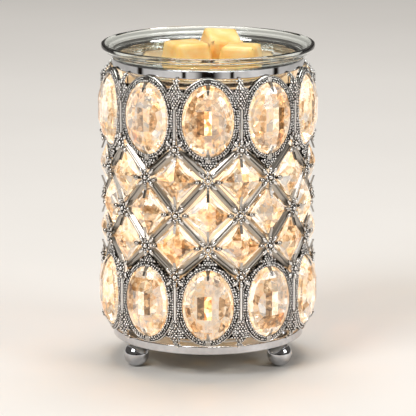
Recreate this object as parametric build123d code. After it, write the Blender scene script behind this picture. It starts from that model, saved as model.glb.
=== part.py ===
from build123d import *
import os
from math import atan, cos, hypot, pi, radians, degrees, sin, sqrt, tan

os.makedirs("parts", exist_ok=True)

# The warmer stands on the floor plane, with its axis on Z and its front towards -Y.
# A piece of the cage is drawn facing +Z of a local frame, whose origin is on the axis:
# local X runs round the cage, local Y is up, and local Z is the distance from the axis.

# General
columns = 10                    # crystal columns round the cage
overrun = 2.0                   # how far every cut runs past what it cuts
touch = 0.1                     # gap between fixed pieces that are soldered or clamped
fit = 0.3                       # gap between a loose piece and what holds it
running = 0.06                  # radial gap of a stud or tube in its hole

# Bands
band_radius = 49.6
band_wall = 1.6
band_height = 4.3
band_edge = 0.5                 # rounding of the bands' edges

# Lattice, from the bottom band up: nodes in rows E to A
lower_band_room = 3.8           # between the bottom band and the lower ovals
lower_tip_room = 11.0           # between the lower ovals and the nodes above them, row D
rise_e_to_d = 14.4
rise_d_to_c = 17.0
rise_c_to_b = 18.4
rise_b_to_a = 15.5
upper_tip_room = 11.8           # between the nodes of row B and the upper ovals above them
upper_band_room = 2.3           # between the upper ovals and the top band
node_stand_off = 2.6            # the straps' middle, outside the bands' face

# Straps
strap_width = 4.4
strap_end_width = 2.6
strap_taper = 2.6               # length of the narrower ends
strap_thickness = 1.4
strap_edge = 0.25               # thickness at the sides
strap_ridge = 1.9               # width of the flat along the middle
strap_groove = 0.8              # width of the groove in the flat
strap_groove_depth = 0.4
strap_stop = 2.1                # the straps end this far from a node's centre

# Oval crystals and their frames
oval_height = 36.6
oval_facets = 20
girdle = 1.2                    # thickness of a crystal's edge
oval_crown = 6.2
oval_pavilion = 3.0
frame_gap = 0.2                 # between the bands' face and the frames' backs
frame_thickness = 1.5
frame_seat = 0.5                # sloping ledge behind the crystal's edge
frame_side_wall = 2.72          # between an oval crystal and the straight side of its frame
frame_side_rim = 3.5
frame_end_rim = 3.1
bezel_width = 0.75
bezel_height = 0.5
window_height = 4.6             # open triangles between the frames and the bands
corner_gap = 0.95               # half the gap between neighbouring frames

# Square crystals, standing on a corner
square_gap = 0.19               # least gap between a square crystal and the straps
square_facets = 16
square_corner_share = 0.95
square_crown = 4.3
square_pavilion = 2.8
square_set_back = 2.2           # back of the square crystals' edge, inside the straps' middle

# Facet rings of both cuts: share of the outline's size, share of the crown's height
oval_crown_shares = [(0.86, 0.36), (0.62, 0.74), (0.34, 1.0)]
square_crown_shares = [(0.72, 0.5), (0.38, 1.0)]
oval_culet_share = 0.55
square_culet_share = 0.5

# Claws
claw_width = 1.4
claw_thickness = 0.9
claw_wall = 0.7                 # past the crystal's corner
claw_clearance = 0.2
long_claw_reach = 3.8           # over the crystal, from its corner
short_claw_reach = 1.6
claw_hold = 1.2                 # reach of the claw's back finger
rice_length = 2.8
rice_width = 1.6
ball_claw = 2.5                 # diameter of the side claws' balls
short_claw_root = 1.9
oval_claw_root = 1.6
oval_claw_width = 2.6           # at the root
oval_claw_tip = 0.8             # width at the tip

# Rosettes
rosette_core = 2.1              # radius of the disc
rosette_disc = 0.5
rosette_dome = 1.15
rosette_petal_length = 3.2
rosette_petal_width = 1.7
rosette_petal_height = 0.95
rosette_boss = 1.5              # radius of the boss behind the disc
rosette_boss_length = 1.3

# Struts
strut_diameter = 1.5
strut_bend = 1.6
strut_landing = 0.9             # length that lies along the band

# Base plate and feet
plate_thickness = 1.2
plate_rise = 0.5                # above the bottom band's lower edge
foot_diameter = 13.0
foot_flat = 0.4                 # depth of the flat that stands on the floor
foot_inset = 0.7                # between the bottom band and the feet's washers
foot_count = 3
foot_first = 60.0
collar_diameter = 7.0
collar_height = 2.0
stud_diameter = 4.0
stud_depth = 6.5                # in the ball
stud_end = 1.4                  # above the nut
washer_diameter = 9.0
washer_thickness = 0.8
nut_flats = 7.0
nut_height = 3.2
vent_count = 8
vent_inset = 5.5                # between the washers' circle and the vents
vent_length = 9.0
vent_width = 3.6

# Cord inlet
bush_inset = 4.5                # between the rear foot's washer and the bush
bush_bore = 5.8
bush_neck = 8.6
bush_flange = 11.6
bush_lip = 1.3

# Lamp holder
nipple_diameter = 10.0
nipple_bore = 7.0
nipple_below = 3.4              # below the plate
nipple_above = 6.0
nipple_nut_flats = 14.0
nipple_nut_height = 2.6
holder_diameter = 27.0
holder_cover = 1.4              # above the bulb's cap
holder_skirt = 18.0             # diameter of the holder's waist
holder_waist = 7.0
holder_floor = 11.0
shell_bore = 14.5
shell_wall = 0.5
shell_lip = 9.0                 # diameter of the hole in the shell's floor
collar_gap = 0.6                # between the shell and the collar of the bulb's cap
contact_width = 4.0
contact_length = 8.0
contact_thickness = 0.6
contact_rise = 1.6

# Bulb
cap_diameter = 13.8
cap_wall = 0.5
cap_length = 16.0
cap_collar = 15.0
cap_collar_height = 1.6
insulator_height = 2.6
tip_diameter = 4.6
tip_height = 1.0
tip_gap = 0.3
bulb_diameter = 45.0
bulb_wall = 0.9
bulb_neck = 12.2
bulb_neck_grip = 7.0            # neck inside the cap
bulb_neck_length = 7.0          # between the cap and the globe's lowest point
bulb_shoulder = 52.0            # degrees below the globe's equator where the neck starts
stem_foot = 9.0
stem_top = 4.0
stem_height = 24.0
wire_diameter = 0.7
filament_span = 20.0
filament_rise = 8.0             # above the stem's top
filament_coil = 1.4
filament_sag = 2.5

# Dish
rim_radius = 55.0
rim_rise = 7.0                  # rim above the top band
lip_thickness = 2.5
lip_height = 2.6
dish_drop = 11.3                # underside below the step
dish_glass = 3.0
dish_slope_run = 7.7            # run of the wall from the underside to the step
dish_step = 2.8                 # width of the step that rests on the band
dish_turn = 8.0                 # bend between floor and wall
dish_shoulder = 3.0
dish_step_round = 0.5

# Wax
wax_size = 23.0
wax_height = 16.0
wax_draft_share = 0.84
wax_round = 2.2
wax_left_side = -0.7            # between the middle and the left cube
wax_left_forward = 5.0
wax_left_turn = 24.0
wax_right_size = 21.5
wax_right_height = 14.6
wax_right_side = 6.0
wax_right_forward = 5.0
wax_right_turn = -14.0
wax_rear_size = 21.5
wax_rear_height = 14.0
wax_rear_side = 6.3
wax_rear_gap = 3.4              # between the left and the rear cube
wax_rear_turn = 14.0
wax_rear_tilt = 16.0            # towards the front
wax_rear_lean = 9.0             # to the right

# Directions round the cage, in degrees from the front
pitch = 360 / columns
half_pitch = radians(pitch / 2)
oval_angles = [pitch * k for k in range(columns)]
node_angles = [pitch * (k + 0.5) for k in range(columns)]

# Distances from the axis
band_bore = band_radius - band_wall
foot_circle = band_bore - foot_inset - washer_diameter / 2
vent_circle = foot_circle - washer_diameter / 2 - vent_inset - vent_width / 2
bush_place = foot_circle - washer_diameter / 2 - bush_inset - bush_flange / 2
frame_back = band_radius + frame_gap
frame_face = frame_back + frame_thickness
oval_back = frame_back + frame_seat + touch
oval_front = oval_back + girdle
node_radius = band_radius + node_stand_off
strap_face = node_radius + strap_thickness / 2
corner_radius = frame_face / cos(half_pitch)
strut_radius = corner_radius + touch
square_back = node_radius - square_set_back
square_front = square_back + girdle

# Distances across one column
frame_side = frame_face * tan(half_pitch) - corner_gap
oval_width = 2 * (frame_side - frame_side_wall)
node_side = node_radius * sin(half_pitch)

# Heights above the floor
foot_centre = foot_diameter / 2 - foot_flat
foot_top = foot_centre + sqrt((foot_diameter / 2)**2 - (collar_diameter / 2)**2)
plate_level = foot_top + collar_height
plate_top = plate_level + plate_thickness
bottom_band_level = plate_level - plate_rise
bottom_band_top = bottom_band_level + band_height
lower_oval_level = bottom_band_top + lower_band_room + oval_height / 2
node_d = lower_oval_level + oval_height / 2 + lower_tip_room
node_e = node_d - rise_e_to_d
node_c = node_d + rise_d_to_c
node_b = node_c + rise_c_to_b
node_a = node_b + rise_b_to_a
upper_oval_level = node_b + upper_tip_room + oval_height / 2
top_band_level = upper_oval_level + oval_height / 2 + upper_band_room
top_band_top = top_band_level + band_height
rim_level = top_band_top + rim_rise
holder_low = plate_top + touch
holder_inside = holder_low + holder_floor
contact_low = holder_inside + touch
shell_low = contact_low + contact_thickness + touch
tip_low = contact_low + contact_rise + tip_gap
insulator_low = tip_low + tip_height
cap_low = insulator_low + insulator_height
cap_top = cap_low + cap_length
shell_top = cap_top - cap_collar_height - collar_gap
holder_top = cap_top + holder_cover


def square_level(high, side, low):
    # the crystal sits halfway between its cell's middle and the nodes beside it
    return ((high + low) / 2 + side) / 2


def square_limit(high, side, low):
    # largest half diagonal that leaves room for the straps and for the claws at the sides
    level = square_level(high, side, low)
    claw_room = rosette_core + claw_clearance + short_claw_root
    limits = [(node_side - claw_room) / square_corner_share]
    for node in (high, low):
        height, rise = abs(node - level), abs(node - side)
        length = hypot(node_side, rise)
        clear = node_side * height / length - strap_width / 2 - square_gap
        limits.append(clear * length / max(node_side, rise))
    return min(limits)


cells = {"upper": (node_a, node_b, node_c), "middle": (node_b, node_c, node_d),
         "lower": (node_c, node_d, node_e)}
square_half = min(square_limit(*cell) for cell in cells.values())


def facing(angle, level, reach=0):
    # local frame that looks outwards from the axis, angle degrees round from the front
    a = radians(angle)
    return Plane(origin=(reach * sin(a), -reach * cos(a), level),
                 x_dir=(cos(a), sin(a), 0), z_dir=(sin(a), -cos(a), 0)).location


def ring_of(piece, angles, level, reach=0):
    return [facing(angle, level, reach) * piece for angle in angles]


def save(name, solids):
    solids = [s for piece in solids for s in piece.solids()]
    group = solids[0] if len(solids) == 1 else Compound(children=solids)
    group.label = name
    export_step(group, f"parts/{name}.step")


def disc(radius, low, high):
    return Pos(0, 0, low) * Cylinder(radius, high - low,
                                     align=(Align.CENTER, Align.CENTER, Align.MIN))


def tube(radius, bore, low, high):
    return disc(radius, low, high) - disc(bore, low - overrun, high + overrun)


# Bands and base plate

def band(level):
    ring = tube(band_radius, band_bore, level, level + band_height)
    return fillet(ring.edges().filter_by(GeomType.CIRCLE), band_edge)


def base_plate():
    plate = disc(band_bore - touch, plate_level, plate_top)
    low, high = plate_level - overrun, plate_top + overrun
    plate -= disc(nipple_diameter / 2 + running, low, high)
    plate -= Pos(0, bush_place, 0) * disc(bush_neck / 2 + running, low, high)
    for x, y in foot_places():
        plate -= Pos(x, y, 0) * disc(stud_diameter / 2 + running, low, high)
    vent = Pos(0, 0, low) * extrude(SlotOverall(vent_length, vent_width), high - low)
    for angle in [360 / vent_count * (k + 0.5) for k in range(vent_count)]:
        plate -= Rot(0, 0, angle) * Pos(0, -vent_circle, 0) * vent
    return plate


def foot_places():
    angles = [radians(foot_first + 360 / foot_count * k) for k in range(foot_count)]
    return [(foot_circle * sin(a), -foot_circle * cos(a)) for a in angles]


def at_feet(piece):
    return [Pos(x, y, 0) * piece for x, y in foot_places()]


def feet():
    radius = foot_diameter / 2
    stud_low = foot_top - stud_depth
    ball = Pos(0, 0, foot_centre) * Sphere(radius) & disc(radius + overrun, 0, foot_top)
    ball -= disc(stud_diameter / 2 + running, stud_low, foot_top + overrun)
    collar = tube(collar_diameter / 2, stud_diameter / 2 + running, foot_top, plate_level)
    washer = tube(washer_diameter / 2, stud_diameter / 2 + running,
                  plate_top, plate_top + washer_thickness)
    nut_low = plate_top + washer_thickness
    nut = hex_nut(nut_flats, nut_height, stud_diameter, nut_low)
    stud = disc(stud_diameter / 2, stud_low + touch, nut_low + nut_height + stud_end)
    stud = chamfer(stud.edges().sort_by(Axis.Z)[-1:], stud_diameter / 10)
    save("ball_feet", at_feet(ball))
    save("foot_collars", at_feet(collar))
    save("foot_washers", at_feet(washer))
    save("foot_nuts", at_feet(nut))
    save("foot_studs", at_feet(stud))


def hex_nut(flats, height, thread, low):
    outline = RegularPolygon(flats / 2, 6, major_radius=False) - Circle(thread / 2 + running)
    nut = Pos(0, 0, low) * extrude(outline, height)
    corners = Pos(0, 0, low) * Cone(flats / sqrt(3) + height / 4, flats / 2, height,
                                    align=(Align.CENTER, Align.CENTER, Align.MIN))
    return nut & corners


# Lattice

def leaf(length, width):
    # pointed outline between two arcs, along X
    half, bulge = length / 2, width / 2
    upper = ThreePointArc((-half, 0), (0, bulge), (half, 0))
    lower = ThreePointArc((half, 0), (0, -bulge), (-half, 0))
    return make_face([upper, lower])


def rice_bead(length, width):
    half = length / 2
    side = ThreePointArc((-half, 0), (0, width / 2), (half, 0))
    return revolve(make_face([side, Line((half, 0), (-half, 0))]), Axis.X)


def strap(length):
    # roof-shaped bar along X with a groove in its ridge and narrower ends
    half, deep = strap_width / 2, strap_thickness / 2
    right = [(half, -deep), (half, strap_edge - deep), (strap_ridge / 2, deep),
             (strap_groove / 2, deep), (0, deep - strap_groove_depth)]
    left = [(-x, y) for x, y in reversed(right[:-1])]
    section = make_face(Polyline(*right, *left, close=True))
    end, shoulder = length / 2, length / 2 - strap_taper
    tip = strap_end_width / 2
    plan = make_face(Polyline((end, tip), (shoulder, half), (-shoulder, half), (-end, tip),
                              (-end, -tip), (-shoulder, -half), (shoulder, -half), (end, -tip),
                              close=True))
    bar = extrude(Plane.YZ * section, length / 2, both=True)
    return bar & extrude(plan, strap_thickness, both=True)


def strap_slope(rise):
    return atan(rise / (2 * node_radius * sin(half_pitch / 2)))


def strap_row(high, low, high_on_ovals):
    # zigzag of straps between two rows of nodes
    rise = high - low
    run = 2 * node_radius * sin(half_pitch / 2)
    bar = strap(hypot(rise, run) - 2 * strap_stop)
    bar = Pos(0, 0, node_radius * cos(half_pitch / 2)) * bar
    slope = degrees(strap_slope(rise))
    if high_on_ovals:
        slope = -slope
    bars = []
    for angle in oval_angles:
        for turn in (1, -1):
            place = facing(angle + turn * pitch / 4, (high + low) / 2)
            bars.append(place * Rot(0, 0, turn * slope) * bar)
    return bars


def rosette():
    # flower of four petals that lie along the straps, drawn from its back plane up
    flower = disc(rosette_core, 0, rosette_disc)
    flower += disc(rosette_boss, -rosette_boss_length, rosette_disc)
    flower += Pos(0, 0, rosette_disc) * Sphere(rosette_dome)
    petal = extrude(leaf(rosette_petal_length, rosette_petal_width), rosette_petal_height)
    for quarter in range(4):
        flower += Rot(0, 0, 45 + 90 * quarter) * Pos(rosette_petal_length / 2 + rosette_dome / 2) * petal
    return flower


def strut(run, band_distance):
    # rod up the joint between two frames, which leans in to the band at its far end
    radius = strut_diameter / 2
    band_reach = band_radius + touch + radius
    lean = band_distance - window_height
    path = FilletPolyline((run, strut_radius), (lean, strut_radius),
                          (band_distance, band_reach),
                          (band_distance + strut_landing, band_reach), radius=strut_bend)
    path = Plane.YZ * path
    start = Plane(origin=path @ 0, z_dir=path % 0)
    return sweep(start * Circle(radius), path)


# Crystals

def outline_points(count, outline, scale, level, turn):
    angles = [2 * pi * (k + turn) / count for k in range(count)]
    return [(scale * outline(a) * cos(a), scale * outline(a) * sin(a), level) for a in angles]


def facet(*points):
    return Face(Wire.make_polygon([Vector(*p) for p in points], close=True))


def crystal(count, outline, culet_share, crown_shares, back, front, pavilion, crown):
    # rings of facets, each turned half a step from the one before
    low = outline_points(count, outline, culet_share, back - pavilion, 0.5)
    edge = outline_points(count, outline, 1, back, 0)
    rim = outline_points(count, outline, 1, front, 0)
    rings = [low, edge]
    faces = [facet(*reversed(low))]
    for k in range(count):
        n = (k + 1) % count
        faces += [facet(edge[k], edge[n], low[k]), facet(low[k], edge[n], low[n])]
        faces.append(facet(edge[k], edge[n], rim[n], rim[k]))
    turn = 0
    for share, rise in crown_shares:
        turn += 0.5
        ring = outline_points(count, outline, share, front + rise * crown, turn)
        for k in range(count):
            n = (k + 1) % count
            faces += [facet(rim[k], rim[n], ring[k]), facet(rim[n], ring[n], ring[k])]
        rim = ring
    faces.append(facet(*rim))
    return Solid(Shell(faces))


def oval_outline(angle):
    across, along = oval_width / 2, oval_height / 2
    return across * along / hypot(along * cos(angle), across * sin(angle))


def square_outline(angle):
    return min(square_half / (abs(cos(angle)) + abs(sin(angle))), square_corner_share * square_half)


def oval_crystal():
    return crystal(oval_facets, oval_outline, oval_culet_share, oval_crown_shares,
                   oval_back, oval_front, oval_pavilion, oval_crown)


def square_crystal():
    return crystal(square_facets, square_outline, square_culet_share, square_crown_shares,
                   square_back, square_front, square_pavilion, square_crown)


# Frames of the oval crystals

def oval_frame(tip, side_node, band_distance):
    # drawn with the band towards +Y; tip and side_node are the nodes' distances from the centre
    slope = strap_slope(tip - side_node)
    strap_room = (strap_width / 2 + 2 * claw_clearance) / cos(slope)
    point = -tip + strap_room
    corner = point + frame_side * tan(slope)
    shoulder = band_distance - window_height
    far = oval_height + frame_end_rim
    across, along = oval_width / 2, oval_height / 2
    shield = make_face(Polyline((0, point), (frame_side, corner), (frame_side, shoulder),
                                (-frame_side, shoulder), (-frame_side, corner), close=True))
    clip = make_face(Polyline((0, point), (frame_side, corner), (frame_side, far),
                              (-frame_side, far), (-frame_side, corner), close=True))
    outline = (Ellipse(across + frame_side_rim, along + frame_end_rim) + shield) & clip
    room = across + claw_clearance, along + claw_clearance
    pocket = Ellipse(*room)
    bezel = Ellipse(room[0] + bezel_width, room[1] + bezel_width) - pocket
    plate = Pos(0, 0, frame_back) * extrude(outline, frame_thickness)
    plate -= Pos(0, 0, oval_back) * extrude(pocket, frame_thickness)
    # the ledge slopes as the crystal's back does
    deep = frame_back - frame_seat
    share = 1 - (1 - oval_culet_share) * (oval_back - deep) / oval_pavilion
    throat = Ellipse(across * share + claw_clearance, along * share + claw_clearance)
    plate -= loft([Pos(0, 0, deep) * throat, Pos(0, 0, oval_back) * pocket])
    return plate + Pos(0, 0, frame_face) * extrude(bezel, bezel_height)


def oval_claw():
    # finger that lies over the crystal's end, drawn at +Y
    half = oval_height / 2
    (share_1, rise_1), (share_2, rise_2) = oval_crown_shares[:2]
    near = half * share_1, oval_front + rise_1 * oval_crown + claw_clearance
    slope = (rise_2 - rise_1) * oval_crown / (half * (share_1 - share_2))
    tip = near[0] - long_claw_reach / 2
    low = near[1] + slope * long_claw_reach / 2
    bezel_top = frame_face + bezel_height + touch
    root = half + claw_clearance + bezel_width + touch
    end = root + oval_claw_root
    foot = frame_face + touch
    points = [(tip, low), near, (half, bezel_top), (root, bezel_top), (root, foot), (end, foot),
              (end, foot + claw_thickness), (root, bezel_top + claw_thickness),
              (half, bezel_top + claw_thickness), (near[0], near[1] + claw_thickness),
              (tip, low + claw_thickness)]
    finger = extrude(Plane.YZ * make_face(Polyline(*points, close=True)), oval_claw_width / 2, both=True)
    wide, narrow = oval_claw_width / 2, oval_claw_tip / 2
    plan = make_face(Polyline((wide, end), (wide, root), (narrow, tip), (-narrow, tip),
                              (-wide, root), (-wide, end), close=True))
    return finger & Pos(0, 0, foot) * extrude(plan, oval_crown + claw_thickness)


# Claws of the square crystals

def square_claw(reach, root, level):
    # hook round a crystal's corner at +Y, with a finger in front and one behind
    corner = square_corner_share * square_half
    crown_run = square_half * (square_corner_share - square_crown_shares[0][0])
    crown_slope = square_crown_shares[0][1] * square_crown / crown_run
    pavilion_slope = square_pavilion / (corner * (1 - square_culet_share))
    wall = corner + claw_clearance
    tip_level = max(level, square_front + crown_slope * reach + claw_clearance)
    hold_level = square_back - claw_clearance - pavilion_slope * claw_hold
    back = square_back - claw_clearance
    points = [(corner - reach, tip_level), (wall, level), (wall, back),
              (corner - claw_hold, hold_level), (corner - claw_hold, hold_level - claw_thickness),
              (wall + claw_wall, back - claw_thickness), (wall + claw_wall, level),
              (corner + root, level), (corner + root, level + claw_thickness),
              (wall, level + claw_thickness), (corner - reach, tip_level + claw_thickness)]
    return extrude(Plane.YZ * make_face(Polyline(*points, close=True)), claw_width / 2, both=True)


def long_claw(gap):
    # up or down from a rosette, with a rice bead between the rosette and the crystal
    corner = square_corner_share * square_half
    level = strap_face + touch
    root = gap - rosette_core - claw_clearance
    claw = square_claw(long_claw_reach, root, level)
    bead = Rot(0, 0, 90) * rice_bead(rice_length, rice_width)
    return claw + Pos(0, corner + root - rice_length / 2, level + claw_thickness) * bead


def short_claw():
    corner = square_corner_share * square_half
    level = square_front + claw_clearance
    claw = square_claw(short_claw_reach, short_claw_root, level)
    ball_radius = ball_claw / 2
    crown_run = square_half * (square_corner_share - square_crown_shares[0][0])
    crown_slope = square_crown_shares[0][1] * square_crown / crown_run
    lift = (ball_radius + claw_clearance) * hypot(1, crown_slope)
    return claw + Pos(0, corner + claw_clearance, square_front + lift) * Sphere(ball_radius)


def square_claws(high, side, low, angles):
    middle = square_level(high, side, low)
    corner = square_corner_share * square_half
    short = short_claw()
    upper, lower = long_claw(high - middle - corner), long_claw(middle - low - corner)
    claws = []
    for quarter, claw in enumerate([upper, short, lower, short]):
        claws += ring_of(Rot(0, 0, 90 * quarter) * claw, angles, middle)
    return claws


def cage():
    upper = upper_oval_level - node_b, upper_oval_level - node_a, top_band_level - upper_oval_level
    lower = node_d - lower_oval_level, node_e - lower_oval_level, lower_oval_level - bottom_band_top
    over = Rot(0, 0, 180)
    claw = oval_claw()
    oval = oval_crystal()
    strut_start = rosette_core + claw_clearance
    for row, level, sizes, turn in (("upper", upper_oval_level, upper, Rot(0, 0, 0)),
                                    ("lower", lower_oval_level, lower, over)):
        save(f"{row}_oval_frames", ring_of(turn * oval_frame(*sizes), oval_angles, level))
        save(f"{row}_oval_crystals", ring_of(turn * oval, oval_angles, level))
        claws = ring_of(claw, oval_angles, level) + ring_of(over * claw, oval_angles, level)
        save(f"{row}_oval_claws", claws)
        rod = strut(strut_start - sizes[1], sizes[2])
        save(f"{row}_struts", ring_of(turn * rod, node_angles, level))
    square = square_crystal()
    for row, cell in cells.items():
        angles = oval_angles if row == "middle" else node_angles
        save(f"{row}_square_crystals", ring_of(square, angles, square_level(*cell)))
        save(f"{row}_square_claws", square_claws(*cell, angles))
    save("straps_row_1", strap_row(node_a, node_b, False))
    save("straps_row_2", strap_row(node_b, node_c, True))
    save("straps_row_3", strap_row(node_c, node_d, False))
    save("straps_row_4", strap_row(node_d, node_e, True))
    flower = rosette()
    on_strap, on_frame = strap_face + touch, corner_radius + touch
    for row, level, angles, reach in ((1, node_a, node_angles, on_frame),
                                      (2, node_b, oval_angles, on_strap),
                                      (3, node_c, node_angles, on_strap),
                                      (4, node_d, oval_angles, on_strap),
                                      (5, node_e, node_angles, on_frame)):
        save(f"rosettes_row_{row}", ring_of(flower, angles, level, reach))


# Lamp holder

def lamp_holder():
    nipple_radius = nipple_diameter / 2
    nipple = tube(nipple_radius, nipple_bore / 2, plate_level - nipple_below, plate_top + nipple_above)
    nut_top = plate_level - touch
    nut = hex_nut(nipple_nut_flats, nipple_nut_height, nipple_diameter, nut_top - nipple_nut_height)
    low = holder_low
    radius = holder_diameter / 2
    side = Polyline((0, low), (holder_skirt / 2, low), (holder_skirt / 2, low + holder_waist),
                    (radius, holder_inside), (radius, holder_top), (0, holder_top), close=True)
    body = revolve(Plane.XZ * make_face(side), Axis.Z)
    shell_radius = shell_bore / 2 + shell_wall
    body -= disc(shell_radius + touch, holder_inside, holder_top + overrun)
    body -= disc(nipple_radius + running, low - overrun, low + nipple_above + touch)
    body -= disc(contact_width / 2, low, holder_inside + overrun)
    body = fillet(body.edges().filter_by(GeomType.CIRCLE).group_by(Axis.Z)[-1], shell_wall)
    shell = tube(shell_radius, shell_bore / 2, shell_low, shell_top)
    shell += tube(shell_radius, shell_lip / 2, shell_low, shell_low + shell_wall)
    half = contact_length / 2
    strip = Polyline((-half, 0), (half, 0), (half, contact_thickness),
                     (half / 2, contact_thickness), (0, contact_rise),
                     (-half / 4, contact_rise), (-half / 4, contact_rise - contact_thickness),
                     (0, contact_thickness), (-half, contact_thickness), close=True)
    contact = Pos(0, 0, contact_low) * extrude(Plane.XZ * make_face(strip), contact_width / 2, both=True)
    save("lamp_holder_body", [body])
    save("holder_screw_shell", [shell])
    save("holder_centre_contact", [contact])
    save("holder_nipple", [nipple])
    save("holder_lock_nut", [nut])


# Bulb

def globe(wall):
    radius, neck = bulb_diameter / 2 - wall, bulb_neck / 2 - wall
    centre = cap_top + bulb_neck_length + bulb_diameter / 2
    a = radians(bulb_shoulder)
    join = (radius * cos(a), centre - radius * sin(a))
    start = (neck, cap_top - bulb_neck_grip)
    waist = (neck, cap_top)
    shoulder = Spline(waist, join, tangents=[(0, 1), (sin(a), cos(a))])
    dome = ThreePointArc(join, (radius, centre), (0, centre + radius))
    lines = [Line((0, start[1]), start), Line(start, waist), shoulder, dome,
             Line((0, centre + radius), (0, start[1]))]
    return revolve(Plane.XZ * make_face(lines), Axis.Z)


def bulb():
    cap_radius = cap_diameter / 2
    tip = disc(tip_diameter / 2, tip_low, insulator_low - touch)
    tip = fillet(tip.edges().sort_by(Axis.Z)[:1], tip_height / 3)
    insulator = Pos(0, 0, insulator_low) * Cone(tip_diameter / 2 + cap_wall, cap_radius - cap_wall,
                                                insulator_height - touch,
                                                align=(Align.CENTER, Align.CENTER, Align.MIN))
    cap = tube(cap_radius, bulb_neck / 2 + running, cap_low, cap_top)
    cap += tube(cap_collar / 2, bulb_neck / 2 + running, cap_top - cap_collar_height, cap_top)
    cap += tube(cap_radius, stem_foot / 2, cap_low, cap_low + cap_wall)
    glass = globe(0)
    hollow = globe(bulb_wall)
    neck_low = cap_top - bulb_neck_grip
    hollow += disc(bulb_neck / 2 - bulb_wall, neck_low - overrun, neck_low + overrun)
    glass -= hollow
    stem_low = neck_low + touch
    stem_high = stem_low + stem_height
    stem = Pos(0, 0, stem_low) * Cone(stem_foot / 2, stem_top / 2, stem_height,
                                      align=(Align.CENTER, Align.CENTER, Align.MIN))
    wire = wire_diameter / 2
    level = stem_high + filament_rise
    span = filament_span / 2
    leg = stem_top / 4
    leads = []
    for side in (1, -1):
        route = FilletPolyline((side * leg, 0, stem_high + touch), (side * leg, 0, stem_high + leg * 2),
                               (side * span, 0, level), radius=leg)
        start = Plane(origin=route @ 0, z_dir=route % 0)
        leads.append(sweep(start * Circle(wire), route))
    coil = filament_coil / 2
    arc = ThreePointArc((-span, 0, level + coil + wire), (0, 0, level + coil + wire + filament_sag),
                        (span, 0, level + coil + wire))
    start = Plane(origin=arc @ 0, z_dir=arc % 0)
    filament = sweep(start * Circle(coil), arc)
    save("bulb_tip_contact", [tip])
    save("bulb_insulator", [insulator])
    save("bulb_cap", [cap])
    save("bulb_glass", [glass])
    save("bulb_stem", [stem])
    save("bulb_lead_wires", leads)
    save("bulb_filament", [filament])


# Cord inlet

def cord_bush():
    low, high = plate_level - touch, plate_top + touch
    bush = disc(bush_neck / 2, low - overrun / 4, high + overrun / 4)
    bush += disc(bush_flange / 2, low - bush_lip, low) + disc(bush_flange / 2, high, high + bush_lip)
    bush -= disc(bush_bore / 2, low - bush_lip - overrun, high + bush_lip + overrun)
    bush = fillet(bush.edges().filter_by(GeomType.CIRCLE).group_by(Axis.Z)[-1], bush_lip / 4)
    save("cord_inlet_bush", [Pos(0, bush_place, 0) * bush])


# Dish and wax

def glass_dish():
    step = top_band_top + fit
    step_radius = band_bore - fit
    dish_foot = step_radius - dish_slope_run
    low = step - dish_drop
    floor = low + dish_glass
    lip_low = rim_level - lip_height
    points = [(0, low), (dish_foot, low), (step_radius, step), (step_radius + dish_step, step),
              (rim_radius, lip_low), (rim_radius, rim_level), (rim_radius - lip_thickness, rim_level),
              (step_radius - dish_step_round, step + dish_glass / 2),
              (dish_foot - dish_glass, floor), (0, floor)]
    lip = lip_thickness / 2 - touch
    radii = [dish_turn, dish_step_round, dish_step_round, lip, lip, lip, dish_shoulder, dish_turn]
    wall = FilletPolyline(*points, radius=radii)
    section = make_face([wall, Line(points[-1], points[0])])
    save("glass_dish", [revolve(Plane.XZ * section, Axis.Z)])
    return floor


def wax_chunk(size, height):
    base = Rectangle(size, size)
    top = Pos(0, 0, height) * Rectangle(size * wax_draft_share, size * wax_draft_share)
    return fillet(loft([base, top]).edges(), wax_round)


def wax(floor):
    level = floor + fit
    left = Rot(0, 0, wax_left_turn) * wax_chunk(wax_size, wax_height)
    right = Rot(0, 0, wax_right_turn) * wax_chunk(wax_right_size, wax_right_height)
    rear = Rot(wax_rear_tilt, wax_rear_lean, wax_rear_turn) * wax_chunk(wax_rear_size, wax_rear_height)
    drop = rear.bounding_box().min.Z
    left_place = -wax_left_side - wax_size / 2, -wax_left_forward
    right_place = wax_right_side + wax_right_size / 2, -wax_right_forward
    rear_place = wax_rear_side, left_place[1] + wax_size / 2 + wax_rear_gap + wax_rear_size / 2
    save("wax_cube_left", [Pos(*left_place, level) * left])
    save("wax_cube_right", [Pos(*right_place, level) * right])
    save("wax_cube_rear", [Pos(*rear_place, level - drop) * rear])


save("top_band", [band(top_band_level)])
save("bottom_band", [band(bottom_band_level)])
save("base_plate", [base_plate()])
feet()
cage()
lamp_holder()
bulb()
cord_bush()
wax(glass_dish())
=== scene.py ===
import math
import random

import bpy
from mathutils import Matrix, Vector


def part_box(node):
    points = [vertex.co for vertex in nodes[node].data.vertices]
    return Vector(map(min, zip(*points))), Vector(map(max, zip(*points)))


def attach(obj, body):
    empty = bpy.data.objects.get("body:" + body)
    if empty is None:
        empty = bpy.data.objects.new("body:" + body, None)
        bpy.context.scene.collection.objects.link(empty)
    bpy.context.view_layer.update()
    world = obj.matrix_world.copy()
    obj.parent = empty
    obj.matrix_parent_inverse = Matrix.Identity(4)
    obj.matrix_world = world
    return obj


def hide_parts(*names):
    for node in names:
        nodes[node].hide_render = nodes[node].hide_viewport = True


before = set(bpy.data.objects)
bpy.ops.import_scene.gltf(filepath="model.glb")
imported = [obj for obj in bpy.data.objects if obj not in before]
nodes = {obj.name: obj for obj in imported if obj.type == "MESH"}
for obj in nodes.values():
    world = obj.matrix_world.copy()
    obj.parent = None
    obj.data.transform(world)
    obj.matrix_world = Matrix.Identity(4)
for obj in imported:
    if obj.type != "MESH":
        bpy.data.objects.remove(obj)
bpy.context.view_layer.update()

mm = 0.001

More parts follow.
